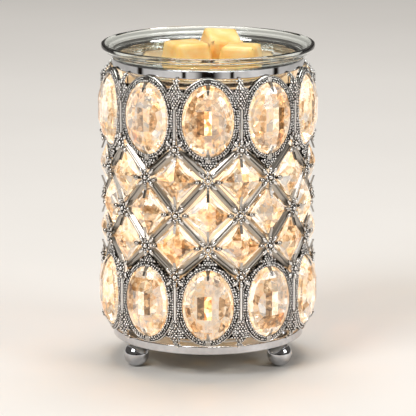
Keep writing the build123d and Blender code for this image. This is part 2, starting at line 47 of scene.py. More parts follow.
# the cage's layout; the radius of its bands comes from the frame
layout = {
    "columns": 10,
    "bandFront": -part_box("top_band")[0].y,
    "frameThickness": 1.5 * mm,
    "frameGap": 0.2 * mm,
    # thickness of every crystal's edge, and where it begins: for the ovals from the frames' backs, for
    # the squares from the bands' radius
    "girdle": 1.2 * mm,
    "seat": 0.6 * mm,
    "squareSeat": 0.4 * mm,
    # the middle of the straps outwards from the bands, and half a strap's thickness
    "strapReach": 2.6 * mm,
    "strapHalf": 0.7 * mm,
}
pitch = math.tau / layout["columns"]
ovalAngles = [pitch * k for k in range(layout["columns"])]
nodeAngles = [pitch * (k + 0.5) for k in range(layout["columns"])]
frameBack = layout["bandFront"] + layout["frameGap"]
frameFace = frameBack + layout["frameThickness"]
strapMiddle = layout["bandFront"] + layout["strapReach"]
strapFace = strapMiddle + layout["strapHalf"]
# where two neighbouring frames meet
cornerRadius = frameFace / math.cos(pitch / 2)


def facing(angle, reach, height):
    # local X runs round the cage, local Y is up, local Z looks outwards
    across = Vector((math.cos(angle), math.sin(angle), 0))
    out = Vector((math.sin(angle), -math.cos(angle), 0))
    up = Vector((0, 0, 1))
    turn = Matrix((across, up, out)).transposed().to_4x4()
    return Matrix.Translation(out * reach + up * height) @ turn


def middleOf(node):
    low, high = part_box(node)
    return (low.z + high.z) / 2


# materials

def colour(hexCode):
    # sRGB hex to linear
    values = [int(hexCode[k:k + 2], 16) / 255 for k in (1, 3, 5)]
    return [v / 12.92 if v <= 0.04045 else ((v + 0.055) / 1.055) ** 2.4 for v in values] + [1]


def addNode(material, kind, settings=None, links=None, feeds=None):
    # settings: an input's name or number, a property of the node, or a colour ramp's stops
    # links: input to (node, output); feeds: output to a list of (node, input)
    tree = material.node_tree
    node = tree.nodes.new(kind)
    for key, value in (settings or {}).items():
        if key == "stops":
            elements = node.color_ramp.elements
            while len(elements) < len(value):
                elements.new(0.5)
            for element, (place, tone) in zip(elements, value):
                element.position = place
                element.color = colour(tone) if isinstance(tone, str) else (tone, tone, tone, 1)
        elif isinstance(key, int) or key in node.inputs:
            node.inputs[key].default_value = value
        else:
            setattr(node, key, value)
    for key, (source, output) in (links or {}).items():
        tree.links.new(source.outputs[output], node.inputs[key])
    for output, targets in (feeds or {}).items():
        for target, key in targets:
            tree.links.new(node.outputs[output], target.inputs[key])
    return node


def newMaterial(name, settings):
    # the shader, the object's own coordinates, and the material's output
    material = bpy.data.materials.new(name)
    material.use_nodes = True
    shader = material.node_tree.nodes["Principled BSDF"]
    for key, value in settings.items():
        shader.inputs[key].default_value = value
    place = addNode(material, "ShaderNodeTexCoord")
    return material, shader, place


def metalMaterial(name, bright, dark, roughness, grain, grainStrength):
    # plated or drawn metal: a mirror with faint polishing marks and a thin uneven tone, whose clouds
    # are twelve marks wide and a little rougher where they are dark
    material, shader, place = newMaterial(name, {"Metallic": 1.0})
    cloud = addNode(material, "ShaderNodeTexNoise", {"Scale": 1 / (grain * 12), "Detail": 3.0},
                    {"Vector": (place, "Object")})
    addNode(material, "ShaderNodeValToRGB", {"stops": [(0.3, dark), (0.7, bright)]},
            {"Fac": (cloud, "Fac")}, {"Color": [(shader, "Base Color")]})
    addNode(material, "ShaderNodeValToRGB", {"stops": [(0.3, roughness * 1.5), (0.7, roughness)]},
            {"Fac": (cloud, "Fac")}, {"Color": [(shader, "Roughness")]})
    marks = addNode(material, "ShaderNodeTexNoise", {"Scale": 1 / grain, "Detail": 4.0},
                    {"Vector": (place, "Object")})
    addNode(material, "ShaderNodeBump", {"Strength": grainStrength, "Distance": grain * 0.1},
            {"Height": (marks, "Fac")}, {"Normal": [(shader, "Normal")]})
    return material


def shadedAntiqueMaterial(name, dark, middle, light, recessSize, polish):
    # cast zinc alloy, silver plated, blackened in a bath and polished back: the recesses are dark, partly
    # from that patina and partly from shade painted in where the surface is hemmed in
    material, shader, place = newMaterial(name, {"Metallic": 1.0})
    # ambient occlusion: how hemmed in the surface is, used to paint shade into the recesses
    recessShade = addNode(material, "ShaderNodeAmbientOcclusion", {"Distance": recessSize, "samples": 6})
    dirt = addNode(material, "ShaderNodeTexNoise", {"Scale": 1 / (2.2 * mm), "Detail": 4.0},
                   {"Vector": (place, "Object")})
    # openness squared, which paints shade into the recesses along with their patina, plus dirt that moves
    # their borders; 0.12 is what the dirt adds on the whole
    steep = addNode(material, "ShaderNodeMath", {"operation": "MULTIPLY_ADD", 2: -0.12},
                    {0: (recessShade, "AO"), 1: (recessShade, "AO")})
    patinaAndShade = addNode(material, "ShaderNodeMath", {"operation": "MULTIPLY_ADD", 1: 0.24},
                   {0: (dirt, "Fac"), 2: (steep, "Value")})
    addNode(material, "ShaderNodeValToRGB", {"stops": [(0.15, dark), (0.45, middle), (0.78, light)]},
            {"Fac": (patinaAndShade, "Value")}, {"Color": [(shader, "Base Color")]})
    addNode(material, "ShaderNodeValToRGB", {"stops": [(0.15, 0.5), (0.7, polish)]},
            {"Fac": (patinaAndShade, "Value")}, {"Color": [(shader, "Roughness")]})
    addNode(material, "ShaderNodeBump", {"Strength": 0.15, "Distance": 0.08 * mm},
            {"Height": (dirt, "Fac")}, {"Normal": [(shader, "Normal")]})
    return material


def pebbledMaterial():
    # the same alloy cast with a bed of beads of about 1.3 mm: a highlight painted on each top, and shade
    # painted black between them along with the patina
    material, shader, place = newMaterial("castAlloyPebbledAntiquedPaintedLight", {"Metallic": 1.0})
    cells = addNode(material, "ShaderNodeTexVoronoi", {"Scale": 1 / (1.3 * mm), "Randomness": 0.7},
                    {"Vector": (place, "Object")})
    # the backs, towards the axis, are plain and satin, with the bulb's golden light painted on them
    geometry = addNode(material, "ShaderNodeNewGeometry")
    spoke = addNode(material, "ShaderNodeVectorMath", {"operation": "MULTIPLY", 1: (1, 1, 0)},
                    {0: (place, "Object")})
    outward = addNode(material, "ShaderNodeVectorMath", {"operation": "DOT_PRODUCT"},
                      {0: (geometry, "Normal"), 1: (spoke, "Vector")})
    front = addNode(material, "ShaderNodeMath", {"operation": "GREATER_THAN", 1: -5 * mm},
                    {0: (outward, "Value")})
    # on the backs this is nought, the ramp's warm first stop, which paints the bulb's light on them
    depth = addNode(material, "ShaderNodeMath", {"operation": "MULTIPLY"},
                    {0: (cells, "Distance"), 1: (front, "Value")})
    # painted light: a warm highlight at each bead's middle, painted shade black at its rim
    addNode(material, "ShaderNodeValToRGB", {
        "stops": [(0.0, "#F3E2C8"), (0.14, "#D8D5D1"), (0.34, "#847E78"), (0.5, "#1B1815")]},
        {"Fac": (depth, "Value")}, {"Color": [(shader, "Base Color")]})
    addNode(material, "ShaderNodeValToRGB", {"stops": [(0.0, 0.6), (0.1, 0.24), (0.5, 0.5)]},
            {"Fac": (depth, "Value")}, {"Color": [(shader, "Roughness")]})
    addNode(material, "ShaderNodeBump", {"Strength": 0.9, "Distance": 0.5 * mm, "invert": True},
            {"Height": (depth, "Value")}, {"Normal": [(shader, "Normal")]})
    return material


def crystalMaterial():
    # cut lead crystal, polished: each facet gets painted light of its own, from brown to white, standing in
    # for another patch of the lit inside, and a painted glow of that colour
    material, shader, place = newMaterial("leadCrystalCutPolished", {
        "Roughness": 0.015, "IOR": 1.56, "Transmission Weight": 1.0, "Emission Strength": 0.26})
    facet = addNode(material, "ShaderNodeAttribute", {
        "attribute_type": "GEOMETRY", "attribute_name": "facetTone"})
    # painted pieces of about 1.9 mm stand in for the facets behind, which break each patch up
    cells = addNode(material, "ShaderNodeTexVoronoi", {"Scale": 1 / (1.9 * mm), "Randomness": 0.9},
                    {"Vector": (place, "Object")})
    split = addNode(material, "ShaderNodeSeparateColor", links={"Color": (cells, "Color")})
    mixed = addNode(material, "ShaderNodeMath", {"operation": "MULTIPLY_ADD", 1: 0.4},
                    {0: (split, "Red"), 2: (facet, "Fac")})
    # the painted light feeds both the colour and the glow
    addNode(material, "ShaderNodeValToRGB", {"stops": [
        (0.04, "#54402E"), (0.16, "#916D48"), (0.28, "#C49A6E"), (0.42, "#E4C298"), (0.56, "#F2DBBB"),
        (0.72, "#F3E9DC"), (0.84, "#CFCBC7"), (1.0, "#F0EDEA")]},
        {"Fac": (mixed, "Value")}, {"Color": [(shader, "Base Color"), (shader, "Emission Color")]})
    return letLightThrough(material, shader, "#FFE3B4")


def letLightThrough(material, shader, tint):
    # light that only passes through goes straight on, which keeps the lamp's light free of grain
    path = addNode(material, "ShaderNodeLightPath")
    either = addNode(material, "ShaderNodeMath", {"operation": "MAXIMUM"},
                     {0: (path, "Is Shadow Ray"), 1: (path, "Is Diffuse Ray")})
    clear = addNode(material, "ShaderNodeBsdfTransparent", {"Color": colour(tint)})
    addNode(material, "ShaderNodeMixShader", None,
            {0: (either, "Value"), 1: (shader, "BSDF"), 2: (clear, "BSDF")},
            {"Shader": [(material.node_tree.nodes["Material Output"], "Surface")]})
    return material


def glassMaterial(name, tint, roughness, through):
    # pressed soda-lime glass: smooth, with faint flow marks and a slight body colour
    material, shader, place = newMaterial(name, {
        "Base Color": colour(tint), "Roughness": roughness, "IOR": 1.5, "Transmission Weight": 1.0})
    flow = addNode(material, "ShaderNodeTexNoise", {"Scale": 1 / (14 * mm), "Detail": 1.0},
                   {"Vector": (place, "Object")})
    addNode(material, "ShaderNodeBump", {"Strength": 0.12, "Distance": 0.4 * mm},
            {"Height": (flow, "Fac")}, {"Normal": [(shader, "Normal")]})
    return letLightThrough(material, shader, through)


def waxMaterial():
    # poured scented wax: soft and a little translucent, paler where it has bloomed
    material, shader, place = newMaterial("waxPouredApricot", {
        "Roughness": 0.42, "IOR": 1.44, "Subsurface Weight": 0.6, "Subsurface Scale": 4 * mm,
        "Subsurface Radius": (1.0, 0.55, 0.22)})
    bloom = addNode(material, "ShaderNodeTexNoise", {"Scale": 1 / (8 * mm), "Detail": 4.0},
                    {"Vector": (place, "Object")})
    addNode(material, "ShaderNodeValToRGB", {
        "stops": [(0.3, "#FAC268"), (0.55, "#FFD58A"), (0.75, "#FFE5AA")]},
        {"Fac": (bloom, "Fac")}, {"Color": [(shader, "Base Color")]})
    grain = addNode(material, "ShaderNodeTexNoise", {"Scale": 1 / (1.6 * mm), "Detail": 5.0},
                    {"Vector": (place, "Object")})
    addNode(material, "ShaderNodeBump", {"Strength": 0.25, "Distance": 0.25 * mm},
            {"Height": (grain, "Fac")}, {"Normal": [(shader, "Normal")]})
    return material


def lampMaterial():
    # frosted lamp glass, lit from inside: the frost spreads a pale warm glow over the whole globe
    material, shader, place = newMaterial("lampGlassFrostedLit", {
        "Base Color": colour("#FFF3DC"), "Roughness": 0.5, "IOR": 1.5, "Emission Strength": 0.58})
    frost = addNode(material, "ShaderNodeTexNoise", {"Scale": 1 / (9 * mm), "Detail": 2.0},
                    {"Vector": (place, "Object")})
    addNode(material, "ShaderNodeValToRGB", {"stops": [(0.3, "#FFE7C8"), (0.7, "#FFF1DC")]},
            {"Fac": (frost, "Fac")}, {"Color": [(shader, "Emission Color")]})
    return material


def plainMaterial(name, low, high, size, settings, bumpStrength=0.1):
    # a solid whose tone and surface vary a little at the size given in metres
    material, shader, place = newMaterial(name, settings)
    cloud = addNode(material, "ShaderNodeTexNoise", {"Scale": 1 / size, "Detail": 4.0},
                    {"Vector": (place, "Object")})
    addNode(material, "ShaderNodeValToRGB", {"stops": [(0.3, low), (0.7, high)]},
            {"Fac": (cloud, "Fac")}, {"Color": [(shader, "Base Color")]})
    addNode(material, "ShaderNodeBump", {"Strength": bumpStrength, "Distance": size * 0.05},
            {"Height": (cloud, "Fac")}, {"Normal": [(shader, "Normal")]})
    return material


finish = {
    "chrome": metalMaterial("steelChromePlatedPolished", "#CDCED1", "#BDBEC2", 0.04, 0.25 * mm, 0.03),
    "antiqueAndShade": shadedAntiqueMaterial("castAlloySilverPlatedAntiquedPaintedShade", "#120F0D", "#706B66", "#EBE9E6",
                               1.2 * mm, 0.21),
    "strap": shadedAntiqueMaterial("castAlloySilverPlatedSatin", "#1C1815", "#8B847C", "#B5AFA7",
                             0.7 * mm, 0.3),
    "claw": shadedAntiqueMaterial("castAlloySilverPlatedDarkenedPaintedShade", "#15120F", "#625C56", "#BDB8B2",
                            1.1 * mm, 0.2),
    "pebbled": pebbledMaterial(),
    "crystal": crystalMaterial(),
    "dishGlass": glassMaterial("sodaLimeGlassPressed", "#F6FBF7", 0.01, "#F8FBF6"),
    "wax": waxMaterial(),
    "lamp": lampMaterial(),
    "plate": metalMaterial("steelPressedLacquered", "#C9C8C4", "#B4B3AF", 0.28, 0.4 * mm, 0.1),
    "zinc": metalMaterial("steelZincPlatedBright", "#C2C4C8", "#9FA1A6", 0.22, 0.3 * mm, 0.1),
    "brass": metalMaterial("brassDrawn", "#D9B56A", "#B8924A", 0.2, 0.3 * mm, 0.08),
    "porcelain": plainMaterial("porcelainGlazed", "#EFEDE6", "#F7F5EF", 6 * mm,
                               {"Roughness": 0.12, "Coat Weight": 0.6}, 0.05),
    "rubber": plainMaterial("rubberMoulded", "#121212", "#1C1B1A", 1 * mm, {"Roughness": 0.6}, 0.3),
    "vitrite": plainMaterial("glassBlackPressed", "#07070A", "#101014", 2 * mm, {"Roughness": 0.15}),
    "wire": metalMaterial("nickelWireDrawn", "#A9A39A", "#8E887F", 0.25, 0.1 * mm, 0.05),
}
print("materials made:", len(finish))


# mesh helpers

def deselectAll():
    for item in bpy.context.selected_objects:
        item.select_set(False)
    bpy.context.view_layer.objects.active = None


def selectOnly(item):
    deselectAll()
    item.select_set(True)
    bpy.context.view_layer.objects.active = item


def editWhere(piece, test):
    # goes into edit mode with the vertices picked that pass the test on their place
    selectOnly(piece)
    for part in (piece.data.polygons, piece.data.edges):
        part.foreach_set("select", [False] * len(part))
    for vertex in piece.data.vertices:
        vertex.select = test(vertex.co)
    bpy.ops.object.mode_set(mode="EDIT")


def dress(piece, name, body, material, replaced=None, smooth=None):
    # smooth is the angle in degrees up to which edges are shaded round
    piece.name = name
    piece.data.name = name
    piece.data.materials.clear()
    piece.data.materials.append(material)
    selectOnly(piece)
    if smooth is not None:
        bpy.ops.object.shade_smooth_by_angle(angle=math.radians(smooth))
    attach(piece, body)
    if replaced:
        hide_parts(replaced)
    return piece


def copyTo(source, places):
    # each copy has a mesh of its own, set at its place
    made = []
    for place in places:
        twin = source.copy()
        twin.data = source.data.copy()
        twin.data.transform(place)
        bpy.context.scene.collection.objects.link(twin)
        made.append(twin)
    return made


def joined(pieces):
    deselectAll()
    for piece in pieces:
        piece.select_set(True)
    bpy.context.view_layer.objects.active = pieces[0]
    bpy.ops.object.join()
    return pieces[0]


def discard(*pieces):
    for piece in pieces:
        mesh = piece.data
        bpy.data.objects.remove(piece)
        bpy.data.meshes.remove(mesh)


# crystals

ovalCut = {
    "width": 26.0 * mm,
    "height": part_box("upper_oval_crystals")[1].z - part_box("upper_oval_crystals")[0].z,
    "crown": 6.2 * mm,
    "pavilion": 3.0 * mm,
    "blankSides": 52,
    # columns of facets across the dome, and the heights where their rows touch it
    "columns": [-7.2 * mm, -3.6 * mm, 0, 3.6 * mm, 7.2 * mm],
    "rows": [-14.6 * mm, -10.6 * mm, 0, 10.6 * mm, 14.6 * mm],
    "domeReach": 0.86,
    # rings of facets round them: how many, how far out, and the share of a step that they are turned
    "rings": [(18, 0.8, 0.5), (26, 0.93, 0)],
    "backFacets": 14,
    "backRun": 0.45,
}
squareCut = {
    "diagonal": 23.7 * mm,
    "cornerShare": 0.95,
    "crown": 4.3 * mm,
    "pavilion": 2.8 * mm,
    # tilts and spread in degrees
    "bevelTilt": 52,
    "bevelWidth": 1.35 * mm,
    "mainTilt": 27,
    "mainSpread": 14,
    "innerTilt": 20,
    "innerReach": 4.2 * mm,
    "innerShare": 0.94,
    "ridgeTilt": 28,
    "ridgeReach": 0.74,
    "ridgeShare": 1.2,
    "backTilt": 30,
    "backCornerTilt": 24,
}
# the light painted on a facet, standing in for the lit inside seen through it, is its place on the
# crystal's ramp of colours; one of a list is drawn for each facet, or a value between two limits
ovalGlow = {
    # each crystal's dark column, counted from its middle, and how many light ones lie beside it
    "darkColumns": [-1, -1, 0, 1, 1],
    "lightCounts": [2, 3],
    "back": (0.0, 0.7),
    # the tall facets across the middle
    "tallHalf": 2 * mm,
    "tallReach": 9 * mm,
    "tallDark": -0.1,
    "tallLight": 0.64,
    "tallCentre": 0.32,
    "tall": [0.1, 0.22, 0.34, 0.45, 0.6],
    # the facets along the edge
    "edgeStart": 0.435,
    "edge": (0.2, 0.46),
    # the others, most of which stay light in a light column
    "lightChance": 0.7,
    "light": 0.66,
    "others": [0.02, 0.14, 0.26, 0.34, 0.42, 0.5, 0.72],
}
squareGlow = {
    # the bevel is known by how far its facets look outwards
    "bevelFacing": (0.5, 0.75),
    "bevel": [0.5, 0.62, 0.8],
    "others": [0.0, 0.16, 0.24, 0.32, 0.4, 0.46, 0.62],
}


def cutFace(point, normal):
    # one stroke on the grinding wheel: everything outside the plane goes
    bpy.ops.mesh.select_all(action="SELECT")
    bpy.ops.mesh.bisect(plane_co=point, plane_no=normal, use_fill=True, clear_outer=True)


def startStone(width, height, low, high, count):
    deselectAll()
    bpy.ops.mesh.primitive_cylinder_add(vertices=count, radius=1, depth=1)
    stone = bpy.context.active_object
    stone.data.transform(Matrix.Translation((0, 0, (low + high) / 2))
                         @ Matrix.Diagonal((width / 2, height / 2, high - low, 1)))
    selectOnly(stone)
    bpy.ops.object.mode_set(mode="EDIT")
    return stone


def endStone(stone):
    # corners that the cuts left nearer to each other than this become one
    weld = 0.002 * mm
    bpy.ops.mesh.select_all(action="SELECT")
    bpy.ops.mesh.remove_doubles(threshold=weld)
    bpy.ops.mesh.normals_make_consistent(inside=False)
    bpy.ops.object.mode_set(mode="OBJECT")
    return stone


def ovalStone(back):
    # back is the level of the crystal's edge; the front is a dome with tall facets in its middle
    a, b = ovalCut["width"] / 2, ovalCut["height"] / 2
    front = back + layout["girdle"]
    crown, pavilion = ovalCut["crown"], ovalCut["pavilion"]
    stone = startStone(2 * a, 2 * b, back - pavilion, front + crown, ovalCut["blankSides"])

    def touchDome(x, y):
        # grinds the facet that touches the dome at this place
        z = crown * math.sqrt(1 - (x / a) ** 2 - (y / b) ** 2)
        cutFace((x, y, front + z), Vector((x / a ** 2, y / b ** 2, z / crown ** 2)).normalized())

    for x in ovalCut["columns"]:
        for y in ovalCut["rows"]:
            if math.hypot(x / a, y / b) < ovalCut["domeReach"]:
                touchDome(x, y)
    for count, reach, turned in ovalCut["rings"]:
        for k in range(count):
            angle = math.tau * (k + turned) / count
            touchDome(reach * a * math.cos(angle), reach * b * math.sin(angle))
    for k in range(ovalCut["backFacets"]):
        angle = math.tau * (k + 0.5) / ovalCut["backFacets"]
        x, y = a * math.cos(angle), b * math.sin(angle)
        out = Vector((x / a ** 2, y / b ** 2, 0)).normalized()
        run = ovalCut["backRun"] * out.dot(Vector((x, y, 0)))
        cutFace((x, y, back), Vector((out.x * pavilion, out.y * pavilion, -run)).normalized())
    return endStone(stone)


def squareStone(back):
    # stands on a corner: a bevel all round, then a low pyramid with its ridges to the corners
    half = squareCut["diagonal"] / 2
    side = half / math.sqrt(2)
    front = back + layout["girdle"]
    stone = startStone(2 * half, 2 * half, back - squareCut["pavilion"], front + squareCut["crown"], 4)

    def cutAt(turn, reach, level, tilt, sign=1):
        a, t = math.radians(turn), math.radians(tilt)
        cutFace((math.cos(a) * reach, math.sin(a) * reach, level),
                Vector((math.cos(a) * math.sin(t), math.sin(a) * math.sin(t), sign * math.cos(t))))

    bevelRise = squareCut["bevelWidth"] * math.tan(math.radians(squareCut["bevelTilt"]))
    inner = side - squareCut["bevelWidth"]
    mainRise = (inner - squareCut["innerReach"]) * math.tan(math.radians(squareCut["mainTilt"]))
    for quarter in range(4):
        corner, middle = 90 * quarter, 90 * quarter + 45
        cutAt(corner, half * squareCut["cornerShare"], front, 90)
        cutAt(middle, side, front, squareCut["bevelTilt"])
        for spread in (-squareCut["mainSpread"], squareCut["mainSpread"]):
            cutAt(middle + spread, inner, front + bevelRise, squareCut["mainTilt"])
        cutAt(middle, squareCut["innerReach"], front + bevelRise + squareCut["innerShare"] * mainRise,
              squareCut["innerTilt"])
        cutAt(corner, half * squareCut["ridgeReach"], front + bevelRise * squareCut["ridgeShare"],
              squareCut["ridgeTilt"])
        cutAt(middle, side, back, squareCut["backTilt"], -1)
        cutAt(corner, half * squareCut["cornerShare"], back, squareCut["backCornerTilt"], -1)
    return endStone(stone)


def ovalGlows(place, normal, pick):
    # painted light: a tall brown facet beside white ones, amber and cream round them
    x, y, z = place
    if z < 0:
        return pick["random"].uniform(*ovalGlow["back"])
    column = round(x / ovalCut["columns"][3])
    if abs(y) < ovalGlow["tallHalf"] and abs(x) < ovalGlow["tallReach"]:
        if column == pick["dark"]:
            return ovalGlow["tallDark"]
        if column in pick["light"]:
            return ovalGlow["tallLight"] if column else ovalGlow["tallCentre"]
        return pick["random"].choice(ovalGlow["tall"])
    if math.hypot(x / ovalCut["width"], y / ovalCut["height"]) > ovalGlow["edgeStart"]:
        return pick["random"].uniform(*ovalGlow["edge"])
    if column in pick["light"] and pick["random"].random() < ovalGlow["lightChance"]:
        return ovalGlow["light"]
    return pick["random"].choice(ovalGlow["others"])


def squareGlows(place, normal, pick):
    # a pale glow is painted on the bevel along the straps
    low, high = squareGlow["bevelFacing"]
    if place.z > 0 and low < normal.z < high:
        return pick["random"].choice(squareGlow["bevel"])
    return pick["random"].choice(squareGlow["others"])


def crystalRow(stone, node, angles, name, rule, seed):
    # every crystal draws its dark and light columns, also the square ones, whose rule has no use for them
    level = middleOf(node)
    stones = copyTo(stone, [facing(angle, 0, level) for angle in angles])
    for k, twin in enumerate(stones):
        # a seed of its own for each crystal
        rng = random.Random(seed * 100 + k)
        dark = rng.choice(ovalGlow["darkColumns"])
        side = 1 if dark < 0 else -1 if dark > 0 else rng.choice([-1, 1])
        beside = [dark + side, dark + 2 * side, dark + 3 * side]
        pick = {"random": rng, "dark": dark, "light": beside[:rng.choice(ovalGlow["lightCounts"])]}
        # the stone's own faces, read before it was turned to its place
        facetGlows = [rule(face.center - Vector((0, 0, layout["bandFront"])), face.normal, pick)
                 for face in stone.data.polygons]
        twin.data.attributes.new("facetTone", "FLOAT", "FACE").data.foreach_set("value", facetGlows)
    dress(joined(stones), name, "cage", finish["crystal"], node)


ovalProto = ovalStone(frameBack + layout["seat"])
crystalRow(ovalProto, "upper_oval_crystals", ovalAngles, "ovalCrystalsUpper", ovalGlows, 1)
crystalRow(ovalProto, "lower_oval_crystals", ovalAngles, "ovalCrystalsLower", ovalGlows, 2)
print("oval crystals cut:", len(ovalProto.data.polygons), "facets each")
discard(ovalProto)

squareProto = squareStone(layout["bandFront"] + layout["squareSeat"])
crystalRow(squareProto, "upper_square_crystals", nodeAngles, "squareCrystalsUpper", squareGlows, 3)
crystalRow(squareProto, "middle_square_crystals", ovalAngles, "squareCrystalsMiddle", squareGlows, 4)
crystalRow(squareProto, "lower_square_crystals", nodeAngles, "squareCrystalsLower", squareGlows, 5)
print("square crystals cut:", len(squareProto.data.polygons), "facets each")
discard(squareProto)


# beads on the frames

beads = {
    "diameter": 1.38 * mm,
    "sides": 8,
    "bands": 5,
    "spacing": 1.36 * mm,
    # height of a row as a share of the spacing, as balls pack
    "rowShare": 0.87,
    "sink": 0.12 * mm,
    "unevenness": 0.16,
    "seed": 11,
    # outwards from the oval crystal: the beads on its bezel, the ring round them, and the field beyond
    "bezelRing": 0.5 * mm,
    "bezelRise": 0.5 * mm,
    "outerRing": 1.75 * mm,
    "fieldStart": 0.9,
    "fieldRows": (-24, 18),
    "fieldColumns": (-13, 14),
    # limits of the field: half a frame's width, the open window at the band, and the straps
    "side": 15.95 * mm,
    "window": 4.6 * mm,
    "strapRoom": 2.35 * mm,
    # above the rail there are beads only beyond this share of the crystal's half width
    "shoulder": 0.7,
}
rail = {
    # beyond the crystal's half width and half height
    "reach": 3.15 * mm,
    "room": 2.8 * mm,
    "thickness": 0.85 * mm,
    # share of its thickness by which its middle lies above the frame's face
    "lift": 0.35,
    # height from which beads keep clear of it, by how much, and where it is cut off
    "clearFrom": 6 * mm,
    "clearance": 0.95 * mm,
    "end": 7 * mm,
    "steps": 84,
    "sides": 6,
}


def ballProto(segments, rings, size):
    deselectAll()
    bpy.ops.mesh.primitive_uv_sphere_add(segments=segments, ring_count=rings, radius=0.5)
    ball = bpy.context.active_object
    ball.data.transform(Matrix.Diagonal((*size, 1)))
    return ball


def ellipsePoints(a, b, spacing):
    # points at even distances round an ellipse
    steps = 720
    turns = [math.tau * k / steps for k in range(steps + 1)]
    ring = [(a * math.cos(turn), b * math.sin(turn)) for turn in turns]
    lengths = [0]
    for p, q in zip(ring, ring[1:]):
        lengths.append(lengths[-1] + math.dist(p, q))
    count = round(lengths[-1] / spacing)
    points, k = [], 0
    for n in range(count):
        goal = lengths[-1] * n / count
        while lengths[k] < goal:
            k += 1
        points.append(ring[k])
    return points


def scattered(points, seed):
    # cast beads are never quite even: each is a little off its place and size
    rng = random.Random(seed)
    off = beads["unevenness"]
    places = []
    for point in points:
        shift = Vector([rng.uniform(-off, off) * mm for _ in range(3)])
        size = 1 + rng.uniform(-off, off)
        places.append(Matrix.Translation(Vector(point) + shift) @ Matrix.Diagonal((size, size, size, 1)))
    return places


def frameBeads(tip, sideNode, bandEdge):
    # in a frame's own plane, with the band towards +Y
    a, b = ovalCut["width"] / 2, ovalCut["height"] / 2
    radius, step = beads["diameter"] / 2, beads["spacing"]
    railA, railB = a + rail["reach"], b + rail["room"]
    run = 2 * strapMiddle * math.sin(pitch / 4)
    slope = math.atan((tip - sideNode) / run)
    room = (beads["strapRoom"] + radius) / math.cos(slope)

    def clear(x, y):
        # inside the frame's straight sides, above the straps and off the rail
        offRail = abs(math.hypot(x / railA, y / railB) - 1) * railB
        onRail = y > rail["clearFrom"] and offRail < rail["clearance"]
        lowest = abs(x) * math.tan(slope) - tip + room
        return abs(x) <= beads["side"] - radius and y >= lowest and not onRail

    sink = beads["sink"]
    points = [(x, y, radius + beads["bezelRise"] - sink)
              for x, y in ellipsePoints(a + beads["bezelRing"], b + beads["bezelRing"], step)]
    points += [(x, y, radius - sink)
               for x, y in ellipsePoints(a + beads["outerRing"], b + beads["outerRing"], step)
               if y > 0 or clear(x, y)]
    reach = beads["outerRing"] + step * beads["fieldStart"]
    highest = bandEdge - beads["window"] - radius
    for row in range(*beads["fieldRows"]):
        for column in range(*beads["fieldColumns"]):
            x, y = (column + 0.5 * (row % 2)) * step, row * step * beads["rowShare"]
            beyond = math.hypot(x / (a + reach), y / (b + reach)) >= 1
            aboveRail = math.hypot(x / railA, y / railB) > 1 and y > rail["clearFrom"]
            if beyond and clear(x, y) and y <= highest and (
                    not aboveRail or abs(x) > beads["shoulder"] * a):
                points.append((x, y, radius - sink))
    return [(x, y, frameFace + z) for x, y, z in points]


def endRail():
    # smooth rail round the end of the frame that faces the band: a ring pressed oval and cut off
    deselectAll()
    length = ovalCut["height"] / 2 + rail["room"]
    bpy.ops.mesh.primitive_torus_add(major_segments=rail["steps"], minor_segments=rail["sides"],
                                     major_radius=length, minor_radius=rail["thickness"] / 2)
    ring = bpy.context.active_object
    selectOnly(ring)
    bpy.ops.object.mode_set(mode="EDIT")
    bpy.ops.mesh.select_all(action="SELECT")
    width = ovalCut["width"] / 2 + rail["reach"]
    bpy.ops.transform.resize(value=(width / length, 1, 1), center_override=(0, 0, 0))
    bpy.ops.transform.translate(value=(0, 0, frameFace + rail["thickness"] * rail["lift"]))
    bpy.ops.mesh.bisect(plane_co=(0, rail["end"], 0), plane_no=(0, 1, 0), use_fill=True,
                        clear_inner=True)
    bpy.ops.object.mode_set(mode="OBJECT")
    return ring


def beadRow(name, level, tip, sideNode, bandEdge, turned):
    # heights are measured from the crystal's middle: the node below it, those beside it, and the band
    ball = ballProto(beads["sides"], beads["bands"], (beads["diameter"],) * 3)
    local = frameBeads(tip, sideNode, bandEdge)
    oneFrame = joined(copyTo(ball, scattered(local, beads["seed"])) + [endRail()])
    if turned:
        oneFrame.data.transform(Matrix.Rotation(math.pi, 4, "Z"))
    row = joined(copyTo(oneFrame, [facing(angle, 0, level) for angle in ovalAngles]))
    discard(ball, oneFrame)
    dress(row, name, "cage", finish["antiqueAndShade"], smooth=180)
    print(name, len(local), "beads on each frame")


nodeLevel = {row: middleOf(f"rosettes_row_{row}") for row in range(1, 6)}
upperOval, lowerOval = middleOf("upper_oval_crystals"), middleOf("lower_oval_crystals")
bandBelow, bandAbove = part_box("top_band")[0].z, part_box("bottom_band")[1].z
beadRow("upperFrameBeads", upperOval, upperOval - nodeLevel[2], upperOval - nodeLevel[1],
        bandBelow - upperOval, False)
beadRow("lowerFrameBeads", lowerOval, nodeLevel[4] - lowerOval, nodeLevel[5] - lowerOval,
        lowerOval - bandAbove, True)


# tassels of beads over the struts' ends

tassel = {
    # a funnel of beads: distance from the band and half width, in mm
    "funnel": [(0.5, 1.9), (3.0, 2.0), (4.4, 3.0), (6.0, 4.6), (9.0, 4.6), (11.5, 2.8), (14.0, 1.5)],
    "rows": 12,
    "start": 0.7 * mm,
    # beads over the strut stand further out than those beside it
    "strutRadius": 0.75 * mm,
    "overHalf": 1.1 * mm,
    "over": 0.95 * mm,
    "beside": 0.5 * mm,
    # the row of small beads on each side of the strut
    "smallBead": 1.3 * mm,
    "smallSides": 7,
    "smallBands": 4,
    "smallAside": 0.4,
    "smallRise": 0.4 * mm,
    # in tenths of a millimetre: where it begins, its step, and how far the two rows are staggered
    "smallStart": 138,
    "smallStep": 13,
    "smallStagger": 3,
    "flowerRoom": 4 * mm,
    "seeds": (12, 13),
}


